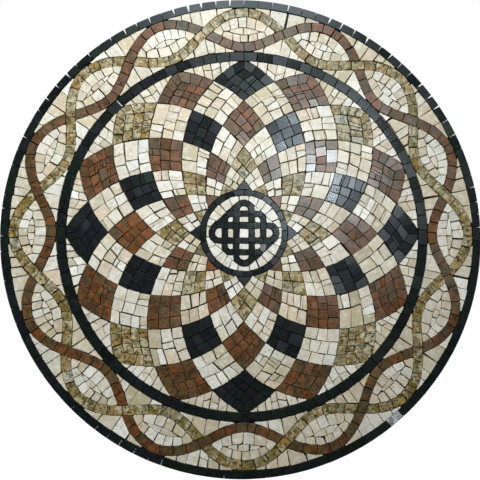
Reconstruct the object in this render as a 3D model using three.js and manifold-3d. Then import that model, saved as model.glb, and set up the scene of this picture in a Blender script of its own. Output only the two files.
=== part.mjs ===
// A round mosaic panel: cut marble set face up in a bed of adhesive on a glass fibre net.
// The stones' colours draw a wheel of curved lozenges, a band of two crossing ribbons round it
// and a small interlaced knot at its centre. Sizes are in millimetres.
// The panel is drawn flat with its front towards +Z, and the group at the end stands it up:
// its front then faces -Y, its flat back lies in the plane y = 0, and +Z is up.
import * as THREE from "three";
import { mergeVertices } from "three/addons/utils/BufferGeometryUtils.js";
import Module from "manifold-3d";

const wasm = await Module();
wasm.setup();

// Layers, from the back to the front
const netThickness = 1;
const bedThickness = 1.2;
const stoneThickness = 8;

// Courses, from the rim to the centre
const panelDiameter = 610;
const outerBorderWidth = 10;
const bandWidth = 59.5;
const innerBorderWidth = 11.5;
const centreRingDiameter = 111;
const centreRingWidth = 6.8;
const joint = 0.8; // open joint between two courses of stones

// The two ribbons in the band, which cross twice in each wave
const ribbonWidth = 11.2;
const waves = 8;
const lapThickness = 1.5; // what is left of a ribbon where it passes under the other one
const lapClearance = 0.3; // between that and the ribbon over it

// The wheel of lozenges: arcs that run in from each petal's tip, to the right and to the left
const petals = 16;
const tipOverrun = 2.4; // how far past the inner border's edge two arcs would meet
const ringOverrun = 0.6; // how far under the centre ring they meet again

// The knot: one long loop upright, one lying, and a square loop with cut corners
const knotStrand = 6.7;
const knotPairSpacing = 19.6; // between the two sides of a long loop, centre to centre
const knotSquareSide = 49; // of the square loop, along its centre line
const knotCornerCut = 5;
const knotHeight = 78; // of the upright loop, along its centre line
const knotWidth = 83; // of the lying loop, along its centre line
const knotGrooveDepth = 1.6; // of the joints that show which strand is on top
const knotGrooveWidth = 0.6;

// Facets
const rimFacets = 64;
const centreFacets = 32;
const ribbonFacetsPerWave = 8;
const outerLozengeFacets = 2; // on each side of the lozenges in the outer rows
const innerLozengeFacets = 1;
const loopEndFacets = 4;

// Worked out from the sizes above
const bedTop = netThickness + bedThickness;
const front = bedTop + stoneThickness;
const panelRadius = panelDiameter / 2;
const bandOuterRadius = panelRadius - outerBorderWidth;
const bandInnerRadius = bandOuterRadius - bandWidth;
const fieldRadius = bandInnerRadius - innerBorderWidth;
const centreRingRadius = centreRingDiameter / 2;
const centreGroundRadius = centreRingRadius - centreRingWidth;
const tipRadius = fieldRadius + tipOverrun;
const seventhCrossingRadius = centreRingRadius - ringOverrun;
const thirdCrossingRadius = (tipRadius + seventhCrossingRadius) / 2; // sets how the arcs bend
const ribbonMiddle = (bandOuterRadius + bandInnerRadius) / 2;
const ribbonSwing = (bandWidth - ribbonWidth) / 2 - joint;
const halfStep = Math.PI / petals; // half the angle between two petals
const fusing = 0.4; // how deep a stone reaches into what it is fused to

const colours = {
  net: { color: 0xd8d6cc, roughness: 0.85, metalness: 0 },
  ivory: { color: 0xd6cab0, roughness: 0.4, metalness: 0 },
  rust: { color: 0x7a4630, roughness: 0.4, metalness: 0 },
  gold: { color: 0x9a8a58, roughness: 0.4, metalness: 0 },
  black: { color: 0x1c2422, roughness: 0.3, metalness: 0 },
};

// A point of the face by its distance from the centre and its angle, clockwise from the top.
function polar(radius, angle) {
  return new THREE.Vector2(radius * Math.sin(angle), radius * Math.cos(angle));
}

function solidFrom(geometry) {
  const bare = new THREE.BufferGeometry();
  bare.setAttribute("position", geometry.getAttribute("position"));
  const merged = mergeVertices(bare, 1e-4);
  const mesh = new wasm.Mesh({
    numProp: 3,
    vertProperties: merged.attributes.position.array,
    triVerts: new Uint32Array(merged.index.array),
  });
  return new wasm.Manifold(mesh);
}

// An upright prism on an outline, with a hole if a second outline is given.
function prism(outline, bottom, top, hole) {
  const shape = new THREE.Shape(outline);
  if (hole) shape.holes.push(new THREE.Path(hole));
  const settings = { depth: top - bottom, bevelEnabled: false };
  const geometry = new THREE.ExtrudeGeometry(shape, settings);
  return solidFrom(geometry.translate(0, 0, bottom));
}

function circle(radius, facets) {
  return Array.from({ length: facets }, (_, i) => polar(radius, (-2 * Math.PI * i) / facets));
}

function disc(radius, bottom, top, facets = rimFacets) {
  return prism(circle(radius, facets), bottom, top);
}

function ring(outer, inner, bottom, top, facets = rimFacets) {
  return prism(circle(outer, facets), bottom, top, circle(inner, facets));
}

function joined(solids) {
  return solids.reduce((all, next) => all.add(next));
}

// The wheel's arcs

// The circle that an arc lies on: its radius, how far off its centre is, and at what angle
// from the petal's tip that centre lies.
function arcThrough(a, b, c) {
  const ab = b.clone().sub(a);
  const ac = c.clone().sub(a);
  const twice = 2 * ab.cross(ac);
  const offset = new THREE.Vector2(
    (ac.y * ab.lengthSq() - ab.y * ac.lengthSq()) / twice,
    (ab.x * ac.lengthSq() - ac.x * ab.lengthSq()) / twice,
  );
  const centre = a.clone().add(offset);
  const lean = Math.atan2(centre.x, centre.y);
  return { radius: offset.length(), distance: centre.length(), lean };
}

const arc = arcThrough(
  polar(tipRadius, 0),
  polar(thirdCrossingRadius, 3 * halfStep),
  polar(seventhCrossingRadius, 7 * halfStep),
);

// The arc from the tip at this many half steps: hand is 1 if it runs in clockwise, -1 if not.
function arcFrom(halfSteps, hand, growth) {
  const centre = polar(arc.distance, halfSteps * halfStep + hand * arc.lean);
  return { centre, radius: arc.radius + growth };
}

// How far from the centre an arc is when it crosses its neighbour of this number.
function crossingRadius(neighbour) {
  const angle = neighbour * halfStep - arc.lean;
  const across = arc.distance * Math.sin(angle);
  return arc.distance * Math.cos(angle) + Math.sqrt(arc.radius ** 2 - across ** 2);
}

// Where two circles cross, on the side nearer to a point.
function meeting(first, second, near) {
  const between = second.centre.clone().sub(first.centre);
  const gap = between.length();
  const along = (gap ** 2 + first.radius ** 2 - second.radius ** 2) / (2 * gap);
  const aside = Math.sqrt(first.radius ** 2 - along ** 2);
  const forward = between.divideScalar(gap);
  const sideways = new THREE.Vector2(-forward.y, forward.x);
  const base = first.centre.clone().addScaledVector(forward, along);
  const found = [aside, -aside].map((s) => base.clone().addScaledVector(sideways, s));
  return found[0].distanceTo(near) < found[1].distanceTo(near) ? found[0] : found[1];
}

// Points along a circle from one of its points towards another, without the last.
function along(round, from, to, facets) {
  const start = from.clone().sub(round.centre).angle();
  let turn = to.clone().sub(round.centre).angle() - start;
  turn -= 2 * Math.PI * Math.round(turn / (2 * Math.PI));
  return Array.from({ length: facets }, (_, i) => {
    const angle = start + (turn * i) / facets;
    const offset = new THREE.Vector2(Math.cos(angle), Math.sin(angle));
    return round.centre.clone().addScaledVector(offset, round.radius);
  });
}

// The outline of the lozenge in a row, counted from the rim, whose middle is at so many half
// steps. Growth moves its four sides out, or in if it is negative.
function lozenge(row, place, growth) {
  const angle = place * halfStep;
  const outerRight = arcFrom(place - row + 1, 1, growth);
  const outerLeft = arcFrom(place + row - 1, -1, growth);
  const innerRight = arcFrom(place + row + 1, -1, -growth);
  const innerLeft = arcFrom(place - row - 1, 1, -growth);
  const outerTip = meeting(outerRight, outerLeft, polar(crossingRadius(row - 1), angle));
  const side = crossingRadius(row);
  const rightTip = meeting(outerRight, innerRight, polar(side, angle + halfStep));
  const leftTip = meeting(outerLeft, innerLeft, polar(side, angle - halfStep));
  const innerTip = meeting(innerRight, innerLeft, polar(crossingRadius(row + 1), angle));
  const facets = row < 5 ? outerLozengeFacets : innerLozengeFacets;
  return [
    ...along(outerLeft, outerTip, leftTip, facets),
    ...along(innerLeft, leftTip, innerTip, facets),
    ...along(innerRight, innerTip, rightTip, facets),
    ...along(outerRight, rightTip, outerTip, facets),
  ];
}

function lozengeSolid(row, place, growth, bottom) {
  const whole = prism(lozenge(row, place, growth), bottom, front);
  return row === 1 ? whole.intersect(disc(fieldRadius - joint, bottom, front)) : whole;
}

// The two ribbons

// One side of a ribbon, so far out from its centre line. Phase is 1 for the ribbon that starts
// at the outer edge at the top of the panel, and -1 for the other.
function ribbonEdge(phase, offset) {
  const count = waves * ribbonFacetsPerWave;
  return Array.from({ length: count }, (_, i) => {
    const angle = (-2 * Math.PI * i) / count;
    const radius = ribbonMiddle + phase * ribbonSwing * Math.cos(waves * angle);
    const slope = -phase * ribbonSwing * waves * Math.sin(waves * angle);
    const outward = polar(radius, angle);
    const clockwise = polar(-slope, angle + Math.PI / 2);
    const normal = outward.clone().add(clockwise).normalize();
    return outward.addScaledVector(normal, offset);
  });
}

function ribbon(phase, halfWidth, bottom, top) {
  return prism(ribbonEdge(phase, halfWidth), bottom, top, ribbonEdge(phase, -halfWidth));
}

// A post round each crossing where this ribbon is the one on top.
function crossingPosts(phase, bottom, top) {
  const first = phase > 0 ? 1 : 0;
  const reach = 1.45 * ribbonWidth;
  const posts = Array.from({ length: waves }, (_, i) => {
    const place = polar(ribbonMiddle, ((2 * i + first + 0.5) * Math.PI) / waves);
    return disc(reach, bottom, top, 8).translate([place.x, place.y, 0]);
  });
  return joined(posts);
}

// A ribbon laps over the other one where it rises clockwise, and under it where it falls.
function lappedRibbon(phase) {
  const fat = ribbonWidth / 2 + joint;
  const lapTop = bedTop + lapThickness;
  const other = -phase;
  const whole = ribbon(phase, ribbonWidth / 2, bedTop, front);
  const above = ribbon(other, fat, lapTop, front + 1).intersect(
    crossingPosts(other, lapTop, front + 1),
  );
  const notchTop = lapTop + lapClearance;
  const below = ribbon(other, fat, bedTop - 1, notchTop).intersect(
    crossingPosts(phase, bedTop - 1, notchTop),
  );
  return whole.subtract(above).subtract(below);
}

// The knot

// The centre line of a long loop, as corner points of its two ends and sides, moved out by an
// offset. Turned is true for the loop that lies down.
function longLoop(offset, turned) {
  const radius = knotPairSpacing / 2;
  const endCentre = (turned ? knotWidth : knotHeight) / 2 - radius;
  const half = (up) =>
    Array.from({ length: loopEndFacets + 1 }, (_, i) => {
      const angle = (Math.PI * i) / loopEndFacets;
      return new THREE.Vector2(
        up * (radius + offset) * Math.cos(angle),
        up * (endCentre + (radius + offset) * Math.sin(angle)),
      );
    });
  const points = [...half(1), ...half(-1)];
  return turned ? points.map((p) => new THREE.Vector2(-p.y, p.x)) : points;
}

function squareLoop(offset) {
  const side = knotSquareSide / 2 + offset;
  const cut = knotCornerCut + offset * (2 - Math.SQRT2);
  const corner = [new THREE.Vector2(side, side - cut), new THREE.Vector2(side - cut, side)];
  const quarters = [0, 1, 2, 3];
  const centre = new THREE.Vector2();
  return quarters.flatMap((q) =>
    corner.map((p) => p.clone().rotateAround(centre, (q * Math.PI) / 2)),
  );
}

const knotLines = [(o) => longLoop(o, false), (o) => longLoop(o, true), squareLoop];

// The three loops, and the small stones that fill the corners between them. Those stones bring
// the knot's outline to the straight lines from the end of one long loop to that of the other.
function knotLoops(halfWidth, bottom, top) {
  const loops = knotLines.map((line) => prism(line(halfWidth), bottom, top, line(-halfWidth)));
  const openings = knotLines.map((line) => prism(line(-halfWidth), bottom - 1, top + 1));
  const filled = wasm.Manifold.hull(loops).subtract(joined(openings));
  return joined([...loops, filled]);
}

// The pairs of joints along the strand that is on top at each of the twelve crossings.
function knotGrooves() {
  const lines = [-knotSquareSide / 2, -knotPairSpacing / 2, knotPairSpacing / 2, knotSquareSide / 2];
  const grooves = [];
  lines.forEach((x, column) =>
    lines.forEach((y, row) => {
      const isCorner = Math.abs(x) === Math.abs(y) && Math.abs(x) === knotSquareSide / 2;
      if (isCorner) return;
      const uprightOnTop = (column + row) % 2 === 1;
      const size = [knotGrooveWidth, knotStrand + joint, 2 * knotGrooveDepth];
      const aside = (knotStrand + knotGrooveWidth) / 2;
      for (const side of [-aside, aside]) {
        const groove = uprightOnTop
          ? new THREE.BoxGeometry(...size).translate(x + side, y, front)
          : new THREE.BoxGeometry(size[1], size[0], size[2]).translate(x, y + side, front);
        grooves.push(solidFrom(groove.toNonIndexed()));
      }
    }),
  );
  return joined(grooves);
}

// Pieces

function starPoint(place, growth, bottom) {
  const ringMiddle = centreRingRadius - centreRingWidth / 2;
  return lozengeSolid(7, place, growth, bottom).subtract(disc(ringMiddle, 0, front + 1));
}

// The ring round the knot with its four points, which are cut from the same stone.
function centreRing(growth, bottom) {
  const inner = centreGroundRadius - growth;
  const whole = ring(centreRingRadius + growth, inner, bottom, front, centreFacets);
  const quarter = petals / 2;
  const places = [0, quarter, 2 * quarter, 3 * quarter];
  return joined([whole, ...places.map((place) => starPoint(place, growth, bottom))]);
}

const colouredRows = [1, 3, 5];

function placesOf(row) {
  return Array.from({ length: petals }, (_, i) => ({ row, place: 2 * i }));
}

// The ivory stones of the field, the band and the middle, fused by the bed that all stones are
// set in. The joints round the coloured stones are open down to that bed.
function ivoryGround() {
  const foot = bedTop - fusing;
  const bed = disc(panelRadius, netThickness, bedTop);
  const lozenges = colouredRows
    .flatMap(placesOf)
    .map(({ row, place }) => prism(lozenge(row, place, joint / 2), foot - 1, front + 1));
  const field = ring(fieldRadius - joint, centreRingRadius, foot, front)
    .subtract(joined(lozenges))
    .subtract(centreRing(joint, foot - 1));
  const ribbonHalf = ribbonWidth / 2 + joint;
  const band = ring(bandOuterRadius - joint, bandInnerRadius + joint, foot, front)
    .subtract(ribbon(1, ribbonHalf, foot - 1, front + 1))
    .subtract(ribbon(-1, ribbonHalf, foot - 1, front + 1));
  const middle = disc(centreGroundRadius - joint, foot, front, centreFacets).subtract(
    knotLoops(knotStrand / 2 + joint, foot - 1, front + 1),
  );
  return joined([bed, field, band, middle]);
}

function named(name, solid, colour) {
  const { vertProperties, triVerts } = solid.getMesh();
  const geometry = new THREE.BufferGeometry();
  geometry.setAttribute("position", new THREE.BufferAttribute(vertProperties, 3));
  geometry.setIndex(new THREE.BufferAttribute(triVerts, 1));
  geometry.computeVertexNormals();
  const mesh = new THREE.Mesh(geometry, new THREE.MeshStandardMaterial(colours[colour]));
  mesh.name = name;
  return mesh;
}

const rowNames = { 1: "petal", 3: "middle_lozenge", 5: "inner_lozenge" };

// The colour of a coloured lozenge, by its row and its number from the top.
function lozengeColour(row, number) {
  const odd = number % 2 === 1;
  if (row === 1) return odd ? "rust" : number % 4 === 0 ? "black" : "gold";
  if (row === 3) return odd ? "black" : "rust";
  return odd ? "rust" : "gold";
}

function lozengeMeshes() {
  return colouredRows.flatMap((row) =>
    placesOf(row).map(({ place }, number) => {
      const name = `${rowNames[row]}_${String(number + 1).padStart(2, "0")}`;
      const solid = lozengeSolid(row, place, -joint / 2, bedTop);
      return named(name, solid, lozengeColour(row, number));
    }),
  );
}

const knot = knotLoops(knotStrand / 2, bedTop, front).subtract(knotGrooves());

const panel = new THREE.Group();
panel.name = "mosaic_panel";
panel.add(
  named("backing_net", disc(panelRadius, 0, netThickness), "net"),
  named("ivory_ground", ivoryGround(), "ivory"),
  named("outer_border", ring(panelRadius, bandOuterRadius, bedTop, front), "black"),
  named("inner_border", ring(bandInnerRadius, fieldRadius, bedTop, front), "black"),
  named("rust_ribbon", lappedRibbon(-1), "rust"),
  named("gold_ribbon", lappedRibbon(1), "gold"),
  ...lozengeMeshes(),
  named("centre_ring", centreRing(0, bedTop), "black"),
  named("centre_knot", knot, "black"),
);
panel.rotation.x = Math.PI / 2;

export default panel;
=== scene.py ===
"""A round mosaic panel of hand cut marble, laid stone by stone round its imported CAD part.

Everything is first laid flat, as a mosaicist lays it: X to the right, Y to the top of the panel,
Z out of its face. Each finished piece is then stood up, so that it faces -Y with +Z up.
Lengths are in metres and angles in radians, clockwise from the top of the panel.
"""
import math
import random

import bpy
from mathutils import Matrix, Vector
from mathutils.geometry import convex_hull_2d


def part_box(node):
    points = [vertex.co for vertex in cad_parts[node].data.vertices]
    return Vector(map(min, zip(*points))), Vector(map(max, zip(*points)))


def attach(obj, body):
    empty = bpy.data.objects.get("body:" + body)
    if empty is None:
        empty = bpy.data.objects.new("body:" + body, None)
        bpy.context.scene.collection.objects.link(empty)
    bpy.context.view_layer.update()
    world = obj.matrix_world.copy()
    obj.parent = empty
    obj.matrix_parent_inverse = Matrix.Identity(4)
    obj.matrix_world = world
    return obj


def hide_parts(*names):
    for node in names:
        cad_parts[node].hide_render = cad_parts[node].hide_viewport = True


bl_info = {
    "name": "Mosaic Panel",
    "version": (1, 0, 0),
    "blender": (4, 5, 0),
    "location": "View3D > Sidebar > Mosaic",
    "description": "Lays a round marble mosaic stone by stone",
    "category": "Object",
}

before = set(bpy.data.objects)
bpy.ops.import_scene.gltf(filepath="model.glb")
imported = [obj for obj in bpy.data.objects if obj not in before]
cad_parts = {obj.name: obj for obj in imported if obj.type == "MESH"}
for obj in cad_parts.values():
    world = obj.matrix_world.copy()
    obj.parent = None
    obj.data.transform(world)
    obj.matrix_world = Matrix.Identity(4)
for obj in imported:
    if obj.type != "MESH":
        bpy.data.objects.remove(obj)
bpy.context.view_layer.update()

TAU = 2 * math.pi


def linear(hex_colour):
    """An sRGB hex value as the linear colour that shaders take."""
    channels = [int(hex_colour[i:i + 2], 16) / 255 for i in (1, 3, 5)]
    return tuple(c / 12.92 if c <= 0.04045 else ((c + 0.055) / 1.055) ** 2.4 for c in channels)


def polar(radius, angle):
    return Vector((radius * math.sin(angle), radius * math.cos(angle)))


def reach(node):
    """How near the centre and how far from it a CAD node goes, across the face."""
    radii = [math.hypot(v.co.x, v.co.z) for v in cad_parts[node].data.vertices]
    return min(radii), max(radii)


# Levels, from the flat back, and the front of the stones
NET_TOP = -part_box("backing_net")[0].y
FRONT = -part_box("outer_border")[0].y
BED_TOP = -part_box("outer_border")[1].y
BED_FOOT = NET_TOP * 0.6  # the net is pressed into the bed's back
SQUEEZED_UP = 0.0012  # how far the adhesive comes up between the stones

# Courses, as the CAD part has them
BAND_OUTER, PANEL_RADIUS = reach("outer_border")
FIELD, BAND_INNER = reach("inner_border")
KNOT_GROUND = reach("centre_ring")[0]
CENTRE_RING = 0.0555  # its outer radius, without the star points
JOINT = 0.0008
MID = JOINT / 2  # outlines run along the middle of the joints, so they stand off by this
SLIP = 0.0022  # width of the thin slip in the inner border

# The two ribbons
WAVES = 8
RIBBON = 0.0112
RIBBON_SIDE = RIBBON / 2 + MID
RIBBON_MIDDLE = sum(reach("gold_ribbon")) / 2
RIBBON_SWING = (reach("gold_ribbon")[1] - reach("gold_ribbon")[0] - RIBBON) / 2

# The wheel of lozenges
PETALS = 16
HALF_STEP = math.pi / PETALS
TIP_RADIUS = FIELD + 0.0024  # the inner border cuts the petals' tips off
SEVENTH_CROSSING = CENTRE_RING - 0.0006  # and the centre ring covers the last crossings
THIRD_CROSSING = (TIP_RADIUS + SEVENTH_CROSSING) / 2

# The knot: a strand's width, then how far the centre lines of a long loop's two sides and of the
# square's sides are from the middle, and how much of the square's corners is cut off
STRAND = 0.0067
PAIR = 0.0098
SQUARE = 0.0245
CORNER_CUT = 0.005
UPRIGHT_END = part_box("centre_knot")[1].z - STRAND / 2
LYING_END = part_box("centre_knot")[1].x - STRAND / 2


class MosaicSizes(bpy.types.PropertyGroup):
    joint: bpy.props.FloatProperty(
        name="Joint", description="Open joint between two stones that fill their places",
        default=0.0003, min=0, subtype="DISTANCE", unit="LENGTH")
    nip: bpy.props.FloatProperty(
        name="Nip", description="How far a corner may fall short of where it should be",
        default=0.0009, min=0, subtype="DISTANCE", unit="LENGTH")
    wobble: bpy.props.FloatProperty(
        name="Wobble", description="How far a nipped edge may run in from a straight one",
        default=0.00022, min=0, subtype="DISTANCE", unit="LENGTH")
    short: bpy.props.FloatProperty(
        name="Short", description="The most by which a stone is smaller than its place",
        default=0.09, min=0, max=1, subtype="FACTOR")
    turn: bpy.props.FloatProperty(
        name="Turn", description="The most that a stone is turned in its place",
        default=math.radians(2.2), min=0, subtype="ANGLE", unit="ROTATION")
    chip: bpy.props.FloatProperty(
        name="Chip", description="The most that a corner loses where it broke off",
        default=0.0017, min=0, subtype="DISTANCE", unit="LENGTH")
    chipped: bpy.props.FloatProperty(
        name="Chipped corners", description="Share of the corners that broke off",
        default=0.08, min=0, max=1, subtype="FACTOR")
    round_over: bpy.props.FloatProperty(
        name="Round over", description="Radius that honing leaves on a stone's upper edges",
        default=0.00028, min=0, subtype="DISTANCE", unit="LENGTH")
    tilt: bpy.props.FloatProperty(
        name="Tilt", description="The most that a stone leans out of the panel's face",
        default=math.radians(1.5), min=0, subtype="ANGLE", unit="ROTATION")
    sink: bpy.props.FloatProperty(
        name="Sink", description="The most that a stone sits below the panel's face",
        default=0.00035, min=0, subtype="DISTANCE", unit="LENGTH")


class MosaicColours(bpy.types.PropertyGroup):
    ivory: bpy.props.FloatVectorProperty(
        name="Ivory marble", description="The cream stones at their commonest",
        default=linear("#E5DFCE"), subtype="COLOR", min=0, max=1)
    rust: bpy.props.FloatVectorProperty(
        name="Rust marble", description="The red-brown stones at their commonest",
        default=linear("#784A23"), subtype="COLOR", min=0, max=1)
    gold: bpy.props.FloatVectorProperty(
        name="Gold marble", description="The tan stones at their commonest",
        default=linear("#B6A46C"), subtype="COLOR", min=0, max=1)
    black: bpy.props.FloatVectorProperty(
        name="Black marble", description="The near-black stones at their commonest",
        default=linear("#121818"), subtype="COLOR", min=0, max=1)


# Cutting and laying

USUAL = 0.96  # where the usual tones end, from 0 to 1
SLACK = 0.7  # share of the room round a small stone that it may be off its place by
BLUNT = math.radians(150)  # an angle blunter than this is a point of an edge and no corner
LEAST_EDGE = 0.0001
MOST_NIPPED = 0.15  # share of the shorter edge that a corner may fall short by


def uneven(count, spread, chance):
    """Shares from 0 to 1 that part a length into unequal stones."""
    sizes = [1 + spread * chance.uniform(-1, 1) for _ in range(count)]
    shares = [0]
    for size in sizes:
        shares.append(shares[-1] + size / sum(sizes))
    return shares


def between(a, b, share):
    return a + (b - a) * share


def counter_clockwise(outline):
    area = sum(a.x * b.y - b.x * a.y for a, b in zip(outline, outline[1:] + outline[:1]))
    return outline if area > 0 else outline[::-1]


def nipped(outline, sizes, care, chance):
    """An outline as the nippers leave it: a little small, and so turned in its place and nearer
    to some of its neighbours, corners short or broken off, edges not quite straight.

    Care is 1 for the usual cut and less for a neater one.
    """
    middle = sum(outline, Vector((0, 0))) / len(outline)
    turn = Matrix.Rotation(care * chance.uniform(-1, 1) * sizes.turn, 2)
    size = 1 - care * sizes.short * chance.random() ** 2
    slack = (outline[0] - middle).length * (1 - size) * SLACK
    aside = middle + Vector((chance.uniform(-1, 1), chance.uniform(-1, 1))) * slack
    outline = [aside + turn @ (corner - middle) * size for corner in outline]
    cut = []
    befores, afters = outline[-1:] + outline[:-1], outline[1:] + outline[:1]
    for before, corner, after in zip(befores, outline, afters):
        back, on = before - corner, after - corner
        least = min(back.length, on.length)
        if least < LEAST_EDGE:
            continue
        sharp = back.angle(on) < BLUNT
        lost = care * chance.random() ** 2 * (sizes.nip if sharp else sizes.wobble)
        short = corner + (middle - corner).normalized() * min(lost, MOST_NIPPED * least)
        chip = chance.uniform(0.3, 1) * sizes.chip
        if sharp and chance.random() < sizes.chipped * care and least > 2.5 * chip:
            cut += [short + back.normalized() * chip, short + on.normalized() * chip]
        else:
            cut.append(short)
    return cut


def activate(obj):
    bpy.ops.object.select_all(action="DESELECT")
    obj.select_set(True)
    bpy.context.view_layer.objects.active = obj


def stand_up(obj):
    """Turns a piece that was laid flat so that it faces -Y, with its place in its mesh."""
    activate(obj)
    bpy.ops.object.transform_apply(location=True, rotation=True, scale=True)
    obj.rotation_euler = (math.pi / 2, 0, 0)
    bpy.ops.object.transform_apply(location=True, rotation=True, scale=True)


def raise_up(obj, height, rounded):
    """Extrudes the selected faces of a flat piece, rounds their edges and stands the piece up."""
    bpy.ops.mesh.extrude_region_move(TRANSFORM_OT_translate={"value": (0, 0, height)})
    bpy.ops.mesh.bevel(offset=rounded, segments=2, affect="EDGES", clamp_overlap=True)
    bpy.ops.mesh.select_all(action="SELECT")
    bpy.ops.mesh.normals_make_consistent(inside=False)
    bpy.ops.object.mode_set(mode="OBJECT")
    stand_up(obj)


def hand_over(obj, material, slot, *replaced):
    """Gives a finished piece its material and its place in the frame, and hides the CAD nodes
    that it stands for.
    """
    obj.data.materials.clear()
    obj.data.materials.append(material)
    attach(obj, "root")
    if replaced:
        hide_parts(*replaced)
    return obj


def batches(count, pick, mixed, odd, chance):
    """How far along the marble's range of tones each stone is: a few in a row from one batch.

    Pick is the part of that range in use, and mixed is how often the next stone is from another
    batch. The usual tones end at USUAL, and 1 is a stone of another kind, which the share odd of
    them are.
    """
    tones = []
    for _ in range(count):
        if not tones or chance.random() < mixed:
            batch = chance.uniform(*pick)
        apart = chance.gauss(0, 0.07)  # stones of one batch aren't quite alike
        usual = min(USUAL, max(0, batch * USUAL + apart))
        tones.append(1 if chance.random() < odd else usual)
    return tones


def lay(name, outlines, seed, mixed, odd, care=1.0, level=None, pick=(0, 1), matt=1.0, marked=(),
        foot=BED_TOP):
    """Stones with these outlines, set side by side in the bed from foot up, as one piece.

    Care is as in nipped, and level is the same for how evenly they lie. Pick, mixed and odd are
    as in batches. Matt is how dull the dullest stone is, where 1 is usual. Each mark is a point
    and the tone that the stone nearest to it has.

    The outlines follow curved courses that no primitive has, so they are laid as faces here.
    Edit mode's tools then open the joints, raise the stones and round their upper edges. The
    attribute "stone" holds three numbers for each stone: its tone, its shade and its polish.
    """
    sizes = bpy.context.scene.mosaic_sizes
    chance = random.Random(seed)
    steepest = math.tan((care if level is None else level) * sizes.tilt)
    tones = batches(len(outlines), pick, mixed, odd, chance)
    middles = [sum(outline, Vector((0, 0))) / len(outline) for outline in outlines]
    for point, tone in marked:
        tones[min(range(len(tones)), key=lambda i: (middles[i] - point).length)] = tone
    points, faces, marks = [], [], []
    for outline, tone in zip(outlines, tones):
        cut = counter_clockwise(nipped(outline, sizes, care, chance))
        lean = Vector((chance.uniform(-1, 1), chance.uniform(-1, 1))) * steepest
        middle = sum(cut, Vector((0, 0))) / len(cut)
        reach_out = max((p - middle).length for p in cut)
        below = FRONT - chance.uniform(0, sizes.sink) - lean.length * reach_out
        faces.append(range(len(points), len(points) + len(cut)))
        points += [(p.x, p.y, below + lean.dot(p - middle)) for p in cut]
        marks += [tone, chance.random(), chance.random() * matt]
    mesh = bpy.data.meshes.new(name)
    mesh.from_pydata(points, [], [list(face) for face in faces])
    mesh.attributes.new("stone", "FLOAT_VECTOR", "FACE").data.foreach_set("vector", marks)
    obj = bpy.data.objects.new(name, mesh)
    bpy.context.scene.collection.objects.link(obj)
    activate(obj)
    depth = FRONT - foot
    bpy.ops.object.mode_set(mode="EDIT")
    bpy.ops.mesh.select_mode(type="FACE")
    bpy.ops.mesh.select_all(action="SELECT")
    bpy.ops.mesh.inset(thickness=sizes.joint / 2, use_individual=True)
    bpy.ops.mesh.select_all(action="INVERT")
    bpy.ops.mesh.delete(type="FACE")
    bpy.ops.mesh.select_all(action="SELECT")
    bpy.ops.transform.translate(value=(0, 0, -depth))
    raise_up(obj, depth, sizes.round_over)
    return obj


# Borders


def ring_course(inner, outer, count, chance, wedge=0.0, slip=None):
    """One course of stones round the panel, set closer than the others are.

    Wedge is how far joints may open at the outer edge, towards the top, where most do. Slip is
    the angle of a thin slip of stone, which stands in a wider joint and comes last.
    """
    ragged = 0.0003  # the course ends so far within its outer radius, where stones may stand out
    closer = 0.00012
    aslant = 0.0006
    inner, outer = inner - MID, outer + MID - ragged
    turns = [TAU * share for share in uneven(count, 0.14, chance)]
    lean = [chance.uniform(-1, 1) * aslant for _ in range(count)]
    opening = [wedge * chance.random() ** 1.5 * (0.5 + 0.5 * math.cos(turns[i])) ** 2
               for i in range(count)]
    stones = []
    for i in range(count):
        j = (i + 1) % count
        start_out = turns[i] + (lean[i] + opening[i] - closer) / outer
        end_out = turns[i + 1] + (lean[j] - opening[j] + closer) / outer
        start_in = turns[i] - (lean[i] + closer) / outer
        end_in = turns[i + 1] - (lean[j] - closer) / outer
        stones.append([
            polar(inner, start_in),
            polar(outer, start_out),
            polar(outer, between(start_out, end_out, 0.5)),
            polar(outer, end_out),
            polar(inner, end_in),
            polar(inner, between(start_in, end_in, 0.5)),
        ])
    if slip is not None:
        at = min(range(1, count), key=lambda i: abs(turns[i] - slip))
        before, after = stones[at - 1], stones[at]
        across = polar(SLIP / 2, turns[at] + math.pi / 2)
        for stone, ends, way in ((before, (3, 4), -1), (after, (0, 1), 1)):
            for end in ends:
                stone[end] = stone[end] + across * way
        stones.append([before[4], before[3], after[1], after[0]])
    return stones


# Ribbons


class Ribbon:
    """A wavy ribbon round the band: phase is 1 if it is outermost at the top, -1 if innermost."""

    def __init__(self, phase):
        self.phase = phase

    def radius(self, angle):
        return RIBBON_MIDDLE + self.phase * RIBBON_SWING * math.cos(WAVES * angle)

    def slope(self, angle):
        return -self.phase * RIBBON_SWING * WAVES * math.sin(WAVES * angle) / self.radius(angle)

    def edge(self, angle, offset):
        """A point beside the centre line, so far out from it."""
        outward = polar(1, angle)
        clockwise = polar(1, angle + math.pi / 2)
        normal = (outward - clockwise * self.slope(angle)).normalized()
        return outward * self.radius(angle) + normal * offset

    def edge_radius(self, angle, offset):
        """How far out the ribbon's edge is at an angle."""
        return self.radius(angle) + offset * math.hypot(1, self.slope(angle))

    def aside(self, point):
        """How far out from the centre line a point lies."""
        angle = math.atan2(point.x, point.y)
        return (point.length - self.radius(angle)) / math.hypot(1, self.slope(angle))


def meeting(below, low, high):
    """The angle between low and high where a condition that holds at low stops holding."""
    for _ in range(24):
        middle = (low + high) / 2
        if below(middle):
            low = middle
        else:
            high = middle
    return low


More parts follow.
